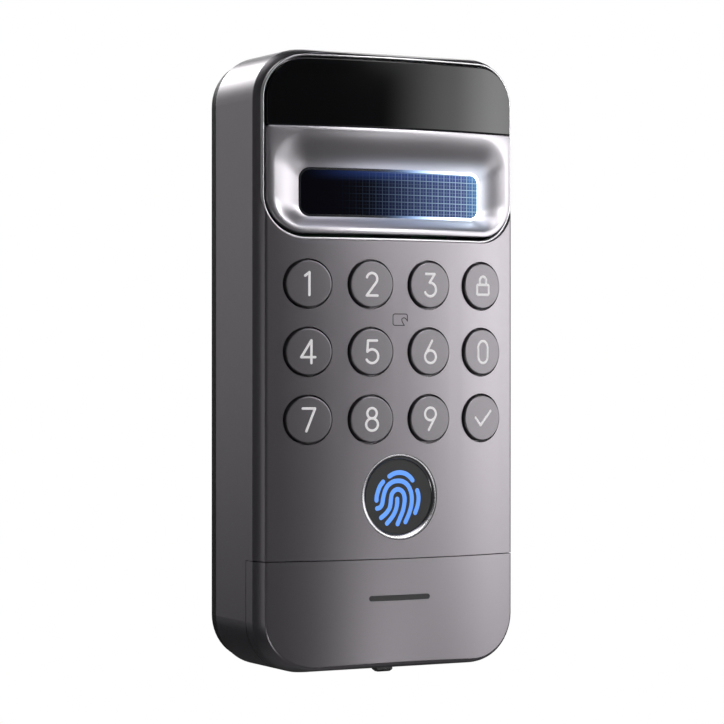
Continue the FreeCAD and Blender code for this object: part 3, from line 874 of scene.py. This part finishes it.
class Mark(Enum):
    """The keypad's marks, each a list of strokes."""

    ONE = (line((0.1, 2.5), (0.1, -2.5)), line((0.1, 2.5), (-0.85, 1.75)))
    TWO = (
        Stroke(arc(0.0, 1.2, 1.28, 1.3, 165, -25) + [(0.75, 0.1), (-1.3, -2.5)]),
        line((-1.3, -2.5), (1.35, -2.5)),
    )
    THREE = (
        line((-1.2, 2.5), (1.15, 2.5)),
        line((1.15, 2.5), (-0.25, 0.55)),
        Stroke([(-0.25, 0.55)] + arc(-0.05, -0.98, 1.52, 1.52, 90, -155, 22)),
    )
    FOUR = (
        line((0.55, 2.5), (-1.75, -1.2)),
        line((-1.75, -1.2), (1.45, -1.2)),
        line((0.55, 2.5), (0.55, -2.5)),
    )
    FIVE = (
        line((1.2, 2.5), (-1.0, 2.5)),
        line((-1.0, 2.5), (-1.15, 0.04)),
        Stroke(arc(0.0, -0.98, 1.52, 1.52, 138, -150, 24)),
    )
    SIX = (ring(0.0, -1.08, 1.45, 1.42), line((-1.28, -0.42), (0.45, 2.5)))
    SEVEN = (line((-1.4, 2.5), (1.4, 2.5)), line((1.4, 2.5), (-0.6, -2.5)))
    EIGHT = (ring(0.0, 1.35, 1.15, 1.15), ring(0.0, -1.13, 1.45, 1.37))
    NINE = (ring(0.0, 1.08, 1.45, 1.42), line((1.28, 0.42), (-0.45, -2.5)))
    ZERO = (Stroke(arc(0.0, 1.0, 1.4, 1.5, 0, 180) + arc(0.0, -1.0, 1.4, 1.5, 180, 360), True),)
    LOCK = (
        Stroke(Outline(1.75, -1.95, 0.3, 0.3, 0.3).points(2, 5), True),
        Stroke([(-0.95, 0.3)] + arc(0.0, 1.25, 0.95, 0.95, 180, 0) + [(0.95, 0.3)]),
    )
    TICK = (line((-2.2, 0.1), (-0.7, -1.65)), line((-0.7, -1.65), (2.3, 1.6)))
    CARD = (
        Stroke(
            [(1.83, -0.32)]
            + arc(1.38, 0.82, 0.45, 0.45, 0, 90, 6)
            + arc(-1.38, 0.82, 0.45, 0.45, 90, 180, 6)
            + arc(-1.38, -0.82, 0.45, 0.45, 180, 270, 6)
            + [(1.05, -1.27)]
        ),
        Stroke(through((1.83, -0.32), (1.45, 0.2), (0.9, 0.42), (0.42, 0.15), (0.5, -0.45), (1.05, -1.27))),
    )
    FINGER = (
        Stroke(through((-2.3, 4.6), (-1.1, 5.2), (0.4, 5.4), (1.8, 5.1), (2.9, 4.4), (3.6, 3.6))),
        Stroke(through((-3.9, 3.4), (-4.7, 2.4), (-5.2, 1.2), (-5.5, 0.2), (-5.55, -0.7))),
        Stroke(through((4.8, 1.3), (5.1, 0.4), (5.15, -0.6), (5.0, -1.7), (4.7, -2.7), (4.3, -3.7))),
        Stroke(through(
            (-5.4, -2.5), (-4.7, -2.3), (-4.15, -1.6), (-3.95, -0.6), (-3.7, 0.5), (-3.3, 1.6), (-2.6, 2.6),
            (-1.4, 3.35), (0.0, 3.55), (1.3, 3.3), (2.4, 2.5), (3.1, 1.3), (3.4, 0.0), (3.4, -1.3),
            (3.15, -2.6), (2.6, -4.1), (1.8, -5.7),
        )),
        Stroke(through(
            (-4.4, -4.6), (-3.2, -3.7), (-2.3, -2.6), (-2.0, -1.5), (-1.9, -0.6), (-1.7, 0.5), (-1.1, 1.3),
            (-0.15, 1.65), (0.8, 1.3), (1.4, 0.5), (1.6, -0.6), (1.45, -1.9), (1.1, -3.3), (0.5, -4.6),
            (-0.2, -6.1),
        )),
        Stroke(through((-0.3, -0.5), (-0.35, -1.7), (-0.7, -3.0), (-1.5, -4.4), (-2.9, -5.9))),
    )


class StrokeTree(Nodes):
    """Geometry Nodes tree that thickens flat strokes and bends them onto a face."""

    NAME = "bent_strokes"
    SIZES = ("Stroke Width", "Stroke Height", "Bow Radius", "Face Y")

    def __init__(self) -> None:
        """Builds the tree."""
        super().__init__(bpy.data.node_groups.new(self.NAME, "GeometryNodeTree"))
        face = self.tree.interface
        face.new_socket("Geometry", in_out="INPUT", socket_type="NodeSocketGeometry")
        for name in self.SIZES:
            face.new_socket(name, in_out="INPUT", socket_type="NodeSocketFloat")
        face.new_socket("Material", in_out="INPUT", socket_type="NodeSocketMaterial")
        face.new_socket("Geometry", in_out="OUTPUT", socket_type="NodeSocketGeometry")
        self.inputs = self.add("NodeGroupInput").outputs
        self.finish(self.bend(self.solid()))

    def vector(self, x: object, y: object, z: object) -> Socket:
        """A vector from three values.

        Args:
            x: first value.
            y: second value.
            z: third value.

        Returns:
            The vector.
        """
        node = self.add("ShaderNodeCombineXYZ")
        for socket, value in zip(node.inputs, (x, y, z)):
            self.feed(socket, value)
        return node.outputs[0]

    def stage(self, kind: str, **values: object) -> bpy.types.Node:
        """One geometry node with its inputs filled.

        Args:
            kind: the node's type name.
            values: socket names with underscores for spaces, and what feeds them.

        Returns:
            The node.
        """
        node = self.add(kind)
        for key, value in values.items():
            self.feed(node.inputs[key.replace("_", " ")], value)
        return node

    def solid(self) -> Socket:
        """Makes the flat strokes solid, with rounded ends.

        Returns:
            The solid strokes.
        """
        half = self.math("MULTIPLY", self.inputs["Stroke Width"], 0.5)
        height = self.inputs["Stroke Height"]
        path = self.stage("GeometryNodeMeshToCurve", Mesh=self.inputs["Geometry"]).outputs[0]
        circle = self.stage("GeometryNodeCurvePrimitiveCircle", Resolution=12, Radius=1.0)
        section = self.vector(half, height, 1.0)
        oval = self.stage("GeometryNodeTransform", Geometry=circle.outputs[0], Scale=section)
        bar = self.stage("GeometryNodeCurveToMesh", Curve=path, Profile_Curve=oval.outputs[0])
        ends = self.add("GeometryNodeCurveEndpointSelection").outputs[0]
        ball = self.stage("GeometryNodeMeshUVSphere", Segments=16, Rings=8, Radius=1.0)
        caps = self.stage(
            "GeometryNodeInstanceOnPoints",
            Points=path, Selection=ends, Instance=ball.outputs[0], Scale=self.vector(half, half, height),
        )
        whole = self.stage("GeometryNodeRealizeInstances", Geometry=caps.outputs[0])
        join = self.stage("GeometryNodeJoinGeometry", Geometry=bar.outputs[0])
        self.feed(join.inputs[0], whole.outputs[0])
        return join.outputs[0]

    def bend(self, flat: Socket) -> Socket:
        """Moves flat geometry onto the bowed face: x runs along the bow and y up.

        Args:
            flat: the geometry to bend.

        Returns:
            The bent geometry.
        """
        split = self.add("ShaderNodeSeparateXYZ")
        self.feed(split.inputs[0], self.add("GeometryNodeInputPosition").outputs[0])
        along, up, proud = split.outputs
        radius = self.inputs["Bow Radius"]
        turn = self.math("DIVIDE", along, radius)
        reach = self.math("ADD", radius, proud)
        half_sine = self.math("SINE", self.math("MULTIPLY", turn, 0.5))
        fall = self.math("MULTIPLY", self.math("MULTIPLY", half_sine, half_sine), 2.0)
        front = self.math("SUBTRACT", self.inputs["Face Y"], proud)
        across = self.math("MULTIPLY", reach, self.math("SINE", turn))
        place = self.vector(across, self.math("MULTIPLY_ADD", fall, reach, front), up)
        return self.stage("GeometryNodeSetPosition", Geometry=flat, Position=place).outputs[0]

    def finish(self, bent: Socket) -> None:
        """Ends the tree.

        Args:
            bent: the geometry to hand on.
        """
        smooth = self.stage("GeometryNodeSetShadeSmooth", Geometry=bent)
        real = self.stage("GeometryNodeRealizeInstances", Geometry=smooth.outputs[0])
        finish = self.inputs["Material"]
        paint = self.stage("GeometryNodeSetMaterial", Geometry=real.outputs[0], Material=finish)
        self.feed(self.add("NodeGroupOutput").inputs[0], paint.outputs[0])

    def run(
        self, flat: bpy.types.Object, sizes: Sequence[float], material: bpy.types.Material
    ) -> bpy.types.Object:
        """Turns flat strokes into a finished piece.

        Args:
            flat: the object that holds the strokes as edges.
            sizes: one value for each of SIZES.
            material: the strokes' material.

        Returns:
            The same object with its final mesh.
        """
        modifier = flat.modifiers.new(self.NAME, "NODES")
        modifier.node_group = self.tree
        sockets = {i.name: i.identifier for i in self.tree.interface.items_tree if i.in_out == "INPUT"}
        for name, value in zip(self.SIZES, sizes):
            modifier[sockets[name]] = value
        modifier[sockets["Material"]] = material
        graph = bpy.context.evaluated_depsgraph_get()
        mesh = bpy.data.meshes.new_from_object(flat.evaluated_get(graph))
        flat.modifiers.clear()
        flat.data = mesh
        return flat


@dataclass
class MarkMaker:
    """Draws marks on the bowed face or on a flat disc."""

    tree: StrokeTree
    width: float
    material: bpy.types.Material
    radius: float
    face_y: float
    height: float = 0.05 * MM

    def draw(self, name: str, mark: Mark, along: float, up: float) -> bpy.types.Object:
        """Makes one mark.

        Args:
            name: the piece's name.
            mark: what it shows.
            along: its middle, measured along the bow.
            up: its middle's height.

        Returns:
            The object.
        """
        verts, edges = [], []
        for stroke in mark.value:
            first = len(verts)
            verts += [Vector((along + x * MM, up + z * MM, 0.0)) for x, z in stroke.points]
            edges += [(i, i + 1) for i in range(first, len(verts) - 1)]
            if stroke.closed:
                edges.append((len(verts) - 1, first))
        flat = new_object(name, verts, edges, [])
        sizes = (self.width, self.height, self.radius, self.face_y)
        return self.tree.run(flat, sizes, self.material)


KEY_ROWS = (
    (("1", Mark.ONE), ("2", Mark.TWO), ("3", Mark.THREE), ("lock", Mark.LOCK)),
    (("4", Mark.FOUR), ("5", Mark.FIVE), ("6", Mark.SIX), ("0", Mark.ZERO)),
    (("7", Mark.SEVEN), ("8", Mark.EIGHT), ("9", Mark.NINE), ("enter", Mark.TICK)),
)


@dataclass
class Keypad:
    """The twelve caps' finish and their marks."""

    tree: StrokeTree
    face: BowedFace
    arc_pitch: float = 14.78 * MM
    proud: float = 0.75 * MM
    stroke: float = 0.58 * MM
    cap: Finish = MetallicPaint("key_paint", (0.235, 0.222, 0.237), 0.38, 0.85)
    # Pale printed ink plus painted glow: emission brightens the key marks, which give no light of their own.
    ink: Finish = LitMark("mark_ink_painted_glow", (0.72, 0.70, 0.71), 0.4, 1.0)

    def build(self) -> list[bpy.types.Object]:
        """Dresses the caps and draws their marks.

        Returns:
            The marks.
        """
        cap = self.cap.build()
        radius = self.face.radius + self.proud
        maker = MarkMaker(self.tree, self.stroke, self.ink.build(), radius, self.face.crown - self.proud)
        made = []
        for keys in KEY_ROWS:
            for column, (key, mark) in enumerate(keys):
                dress("key_" + key, cap)
                along = (column - (len(keys) - 1) / 2) * self.arc_pitch * radius / self.face.radius
                piece = maker.draw("mark_" + key, mark, along, middle_height("key_" + key))
                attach(piece, "key_" + key)
                made.append(piece)
        return made


@dataclass
class CardMark:
    """Outline of a card between the upper rows of keys."""

    tree: StrokeTree
    face: BowedFace
    height: float = 9.2 * MM
    stroke: float = 0.2 * MM
    proud: float = 0.02 * MM
    ink: Finish = Moulded("card_ink", (0.02, 0.019, 0.021), 0.5, 4000.0, 0.000004)

    def build(self) -> bpy.types.Object:
        """Draws the mark.

        Returns:
            The object.
        """
        ink = self.ink.build()
        maker = MarkMaker(self.tree, self.stroke, ink, self.face.radius, self.face.crown, self.proud)
        piece = maker.draw("card_mark", Mark.CARD, 0.0, self.height)
        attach(piece, "housing")
        return piece


@dataclass
class FingerprintMark:
    """Lit mark on the flat sensor disc."""

    tree: StrokeTree
    centre: float = middle_height("fingerprint_sensor")
    disc_y: float = front_of("fingerprint_sensor")
    flat_radius: float = 10.0
    stroke: float = 1.05 * MM
    proud: float = 0.03 * MM
    light: Finish = LitMark("fingerprint_light", (0.127, 0.352, 1.0))

    def build(self) -> bpy.types.Object:
        """Draws the mark.

        Returns:
            The object.
        """
        light = self.light.build()
        maker = MarkMaker(self.tree, self.stroke, light, self.flat_radius, self.disc_y, self.proud)
        piece = maker.draw("fingerprint_mark", Mark.FINGER, 0.0, self.centre)
        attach(piece, "housing")
        return piece


# ---------------------------------------------------------------- dressing the CAD nodes


class Part(Enum):
    """Groups of CAD nodes that share a finish."""

    SHELL = ("rear_housing", "front_cover", "bottom_cover")
    PLATE = ("wall_plate",)
    PAD = ("adhesive_pad",)
    RUBBER = ("front_seal", "bay_seal", "key_mat")
    STEEL = (
        "housing_screws", "board_screws", "tab_spring", "key_switches", "usb_socket", "battery_contacts",
    )
    GLASS = ("glass_panel",)
    SENSOR = ("fingerprint_sensor",)
    WINDOW = ("window_lens",)
    GUIDE = ("light_guide",)
    INNER = ("sensor_bracket", "display_panel", "speaker")
    BOARD = ("light_board", "camera_board", "keypad_board", "main_board", "fingerprint_board", "usb_board")
    CHIPS = ("board_chips", "infrared_camera", "proximity_sensor", "flood_illuminator", "dot_projector")
    COPPER = ("card_antenna",)
    RIBBON = ("board_ribbon",)
    BATTERY = ("battery_pack",)
    SMOKED = ("indicator_bar", "release_tab")


FLOOR_PAINT = StudioFloor()
SENSOR_METAL = BareMetal("sensor_metal", (0.5, 0.49, 0.51), 0.22)
BRIGHT_TRIM = BareMetal("bright_trim", (0.92, 0.91, 0.93), 0.4)

CAD_FINISHES: dict[Part, Finish] = {
    Part.SHELL: MetallicPaint("graphite_paint", (0.31, 0.29, 0.312), 0.31, 0.9),
    Part.PLATE: Moulded("plate_plastic", (0.035, 0.035, 0.037), 0.55),
    Part.PAD: Moulded("foam_tape", (0.5, 0.5, 0.51), 0.9, 3000.0, 0.0002),
    Part.RUBBER: Moulded("silicone", (0.05, 0.05, 0.052), 0.7),
    Part.STEEL: BareMetal("plated_steel", (0.62, 0.62, 0.64), 0.3),
    Part.GLASS: BlackGlass("black_glass"),
    Part.SENSOR: Moulded("sensor_coat", (0.018, 0.018, 0.019), 0.45, 2000.0, 0.000004),
    Part.WINDOW: LitGrid(),
    Part.GUIDE: EdgeGlow(),
    Part.INNER: Moulded("black_moulding", (0.03, 0.03, 0.03), 0.5),
    Part.BOARD: Moulded("solder_mask", (0.02, 0.12, 0.05), 0.35),
    Part.CHIPS: Moulded("epoxy", (0.02, 0.02, 0.021), 0.45),
    Part.COPPER: BareMetal("copper_track", (0.85, 0.5, 0.32), 0.3),
    Part.RIBBON: Moulded("amber_film", (0.55, 0.28, 0.06), 0.35),
    Part.BATTERY: Moulded("cell_wrap", (0.08, 0.09, 0.12), 0.45),
    Part.SMOKED: Moulded("smoked_plastic", (0.03, 0.03, 0.032), 0.25),
}


def dress(node: str, material: bpy.types.Material) -> None:
    """Gives a CAD node a finish.

    Args:
        node: the node's name.
        material: its new material.
    """
    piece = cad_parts[node]
    if not piece.material_slots:
        piece.data.materials.append(material)
    for slot in piece.material_slots:
        slot.material = material


def dress_cad() -> None:
    """Gives every CAD node its finish, but for the keys and the nodes with a finer version."""
    for part, finish in CAD_FINISHES.items():
        material = finish.build()
        for node in part.value:
            dress(node, material)
        LOG.info("%s on %s", material.name, ", ".join(part.value))


# ---------------------------------------------------------------- stage


@dataclass(frozen=True)
class Softbox:
    """One area light that faces the keypad."""

    name: str
    bearing: float
    lift: float
    size: Point2
    power: float
    colour: Colour = (1.0, 1.0, 1.0)
    reach: float = 1.0
    PEAK: ClassVar[float] = 3.0

    def build(self, target: Vector) -> None:
        """Places the light.

        Args:
            target: the point it faces. Bearings run from -X towards -Y, so 90 is straight in front.
        """
        data = bpy.data.lights.new(self.name, "AREA")
        data.shape = "RECTANGLE"
        data.size, data.size_y = self.size
        data.energy = self.power
        data.color = self.colour
        self.soften(data)
        light = bpy.data.objects.new(self.name, data)
        a, e = math.radians(self.bearing), math.radians(self.lift)
        direction = Vector((-math.cos(a) * math.cos(e), -math.sin(a) * math.cos(e), math.sin(e)))
        light.location = target + direction * self.reach
        light.rotation_euler = (-direction).to_track_quat("-Z", "Y").to_euler()
        bpy.context.scene.collection.objects.link(light)

    def soften(self, data: bpy.types.AreaLight) -> None:
        """Fades the light from its middle to its edges.

        Args:
            data: the light to fade.
        """
        data.use_nodes = True
        nodes = Nodes(data.node_tree)
        away = nodes.add("ShaderNodeVectorMath", operation="DISTANCE")
        nodes.feed(away.inputs[0], nodes.add("ShaderNodeNewGeometry").outputs["Parametric"])
        nodes.feed(away.inputs[1], (0.5, 0.5, 0.0))
        fade = nodes.add("ShaderNodeMapRange", interpolation_type="SMOOTHSTEP")
        for socket, value in zip(fade.inputs, (away.outputs["Value"], 0.5, 0.0, 0.0, self.PEAK)):
            nodes.feed(socket, value)
        nodes.feed(data.node_tree.nodes["Emission"].inputs["Strength"], fade.outputs[0])


SOFTBOXES = (
    Softbox("right_key", 150.0, 5.0, (0.6, 1.0), 1.9),
    Softbox("right_far", 168.0, 6.0, (0.5, 0.7), 0.6),
    Softbox("front_right", 136.0, 5.0, (0.85, 0.9), 1.5),
    Softbox("front_high", 116.0, 18.0, (0.75, 0.3), 3.1),
    Softbox("front_low", 114.0, -12.0, (0.6, 0.2), 0.45),
    Softbox("front_top", 112.0, 40.0, (0.9, 0.6), 2.4),
    Softbox("overhead", 104.0, 68.0, (0.9, 0.7), 1.6, (0.86, 0.89, 1.0)),
    Softbox("rear_top", -84.0, 26.0, (0.55, 0.7), 3.6),
    Softbox("rear_left", -62.0, 6.0, (0.4, 0.9), 0.26),
    Softbox("left_strip", -12.0, 0.0, (0.3, 0.9), 0.34),
    Softbox("low_left", 34.0, -30.0, (0.8, 0.4), 1.1),
    Softbox("low_rear", -142.0, -13.0, (0.45, 0.4), 0.9),
    Softbox("rear_right", -128.0, 18.0, (1.5, 0.6), 2.3),
)


@dataclass
class Studio:
    """Floor, lights and camera."""

    face: BowedFace
    view_distance: float = 0.6007
    view_turn: float = 28.65
    lens: float = 133.65
    eye_height: float = -0.00026
    aim_left: float = 0.00856
    sensor_width: float = 36.0
    clip_start: float = 0.01
    floor_drop: float = 0.9
    floor_radius: float = 2.0
    floor_steps: int = 96
    surround: float = 0.03
    lights: tuple[Softbox, ...] = SOFTBOXES

    def build(self) -> None:
        """Builds everything that isn't the object."""
        self.camera()
        self.floor()
        self.world()
        for light in self.lights:
            light.build(self.crown())

    def crown(self) -> Vector:
        """The middle of the bowed face."""
        return Vector((0.0, self.face.crown, self.eye_height))

    def camera(self) -> None:
        """Places the camera level with the keypad, to its left."""
        turn = math.radians(self.view_turn)
        back = Vector((-math.sin(turn), -math.cos(turn), 0.0))
        right = Vector((math.cos(turn), -math.sin(turn), 0.0))
        eye = self.crown() + back * self.view_distance
        target = self.crown() - right * self.aim_left
        data = bpy.data.cameras.new("camera")
        data.lens = self.lens
        data.sensor_width = self.sensor_width
        data.clip_start = self.clip_start
        camera = bpy.data.objects.new("camera", data)
        camera.location = eye
        camera.rotation_euler = (target - eye).to_track_quat("-Z", "Y").to_euler()
        bpy.context.scene.collection.objects.link(camera)
        bpy.context.scene.camera = camera

    def floor(self) -> None:
        """A pale disc well under the object."""
        edge = arc(0.0, 0.0, self.floor_radius, self.floor_radius, 0, 360, self.floor_steps)
        verts = [Vector((x, y, -self.floor_drop)) for x, y in edge[:-1]]
        floor = new_object("floor", verts, [], [tuple(range(len(verts)))])
        floor.data.materials.append(FLOOR_PAINT.build())

    def world(self) -> None:
        """White backdrop for the camera, dimmer surround for everything else."""
        world = bpy.data.worlds.new("studio")
        world.use_nodes = True
        nodes = Nodes(world.node_tree)
        surround = world.node_tree.nodes["Background"]
        nodes.feed(surround.inputs[0], (0.92, 0.94, 1.0))
        nodes.feed(surround.inputs[1], self.surround)
        backdrop = nodes.add("ShaderNodeBackground")
        nodes.feed(backdrop.inputs[0], (1.0, 1.0, 1.0))
        mix = nodes.add("ShaderNodeMixShader")
        nodes.feed(mix.inputs[0], nodes.add("ShaderNodeLightPath").outputs["Is Camera Ray"])
        nodes.feed(mix.inputs[1], surround.outputs[0])
        nodes.feed(mix.inputs[2], backdrop.outputs[0])
        nodes.feed(world.node_tree.nodes["World Output"].inputs[0], mix.outputs[0])
        bpy.context.scene.world = world
        bpy.context.scene.view_settings.view_transform = "Standard"


def main() -> None:
    """Builds the scene."""
    logging.basicConfig(level=logging.INFO, format="%(message)s")
    tree = StrokeTree()
    Studio(FACE).build()
    dress_cad()
    made = [
        DisplayTrim(FACE).build(BRIGHT_TRIM),
        SensorRing(FACE).build(SENSOR_METAL),
        DisplayDish(FACE).build(SilverWithPaintedGlow()),
        *Keypad(tree, FACE).build(),
        CardMark(tree, FACE).build(),
        FingerprintMark(tree).build(),
    ]
    for piece in made:
        LOG.info("made %s", piece.name)


if __name__ == "__main__":
    main()
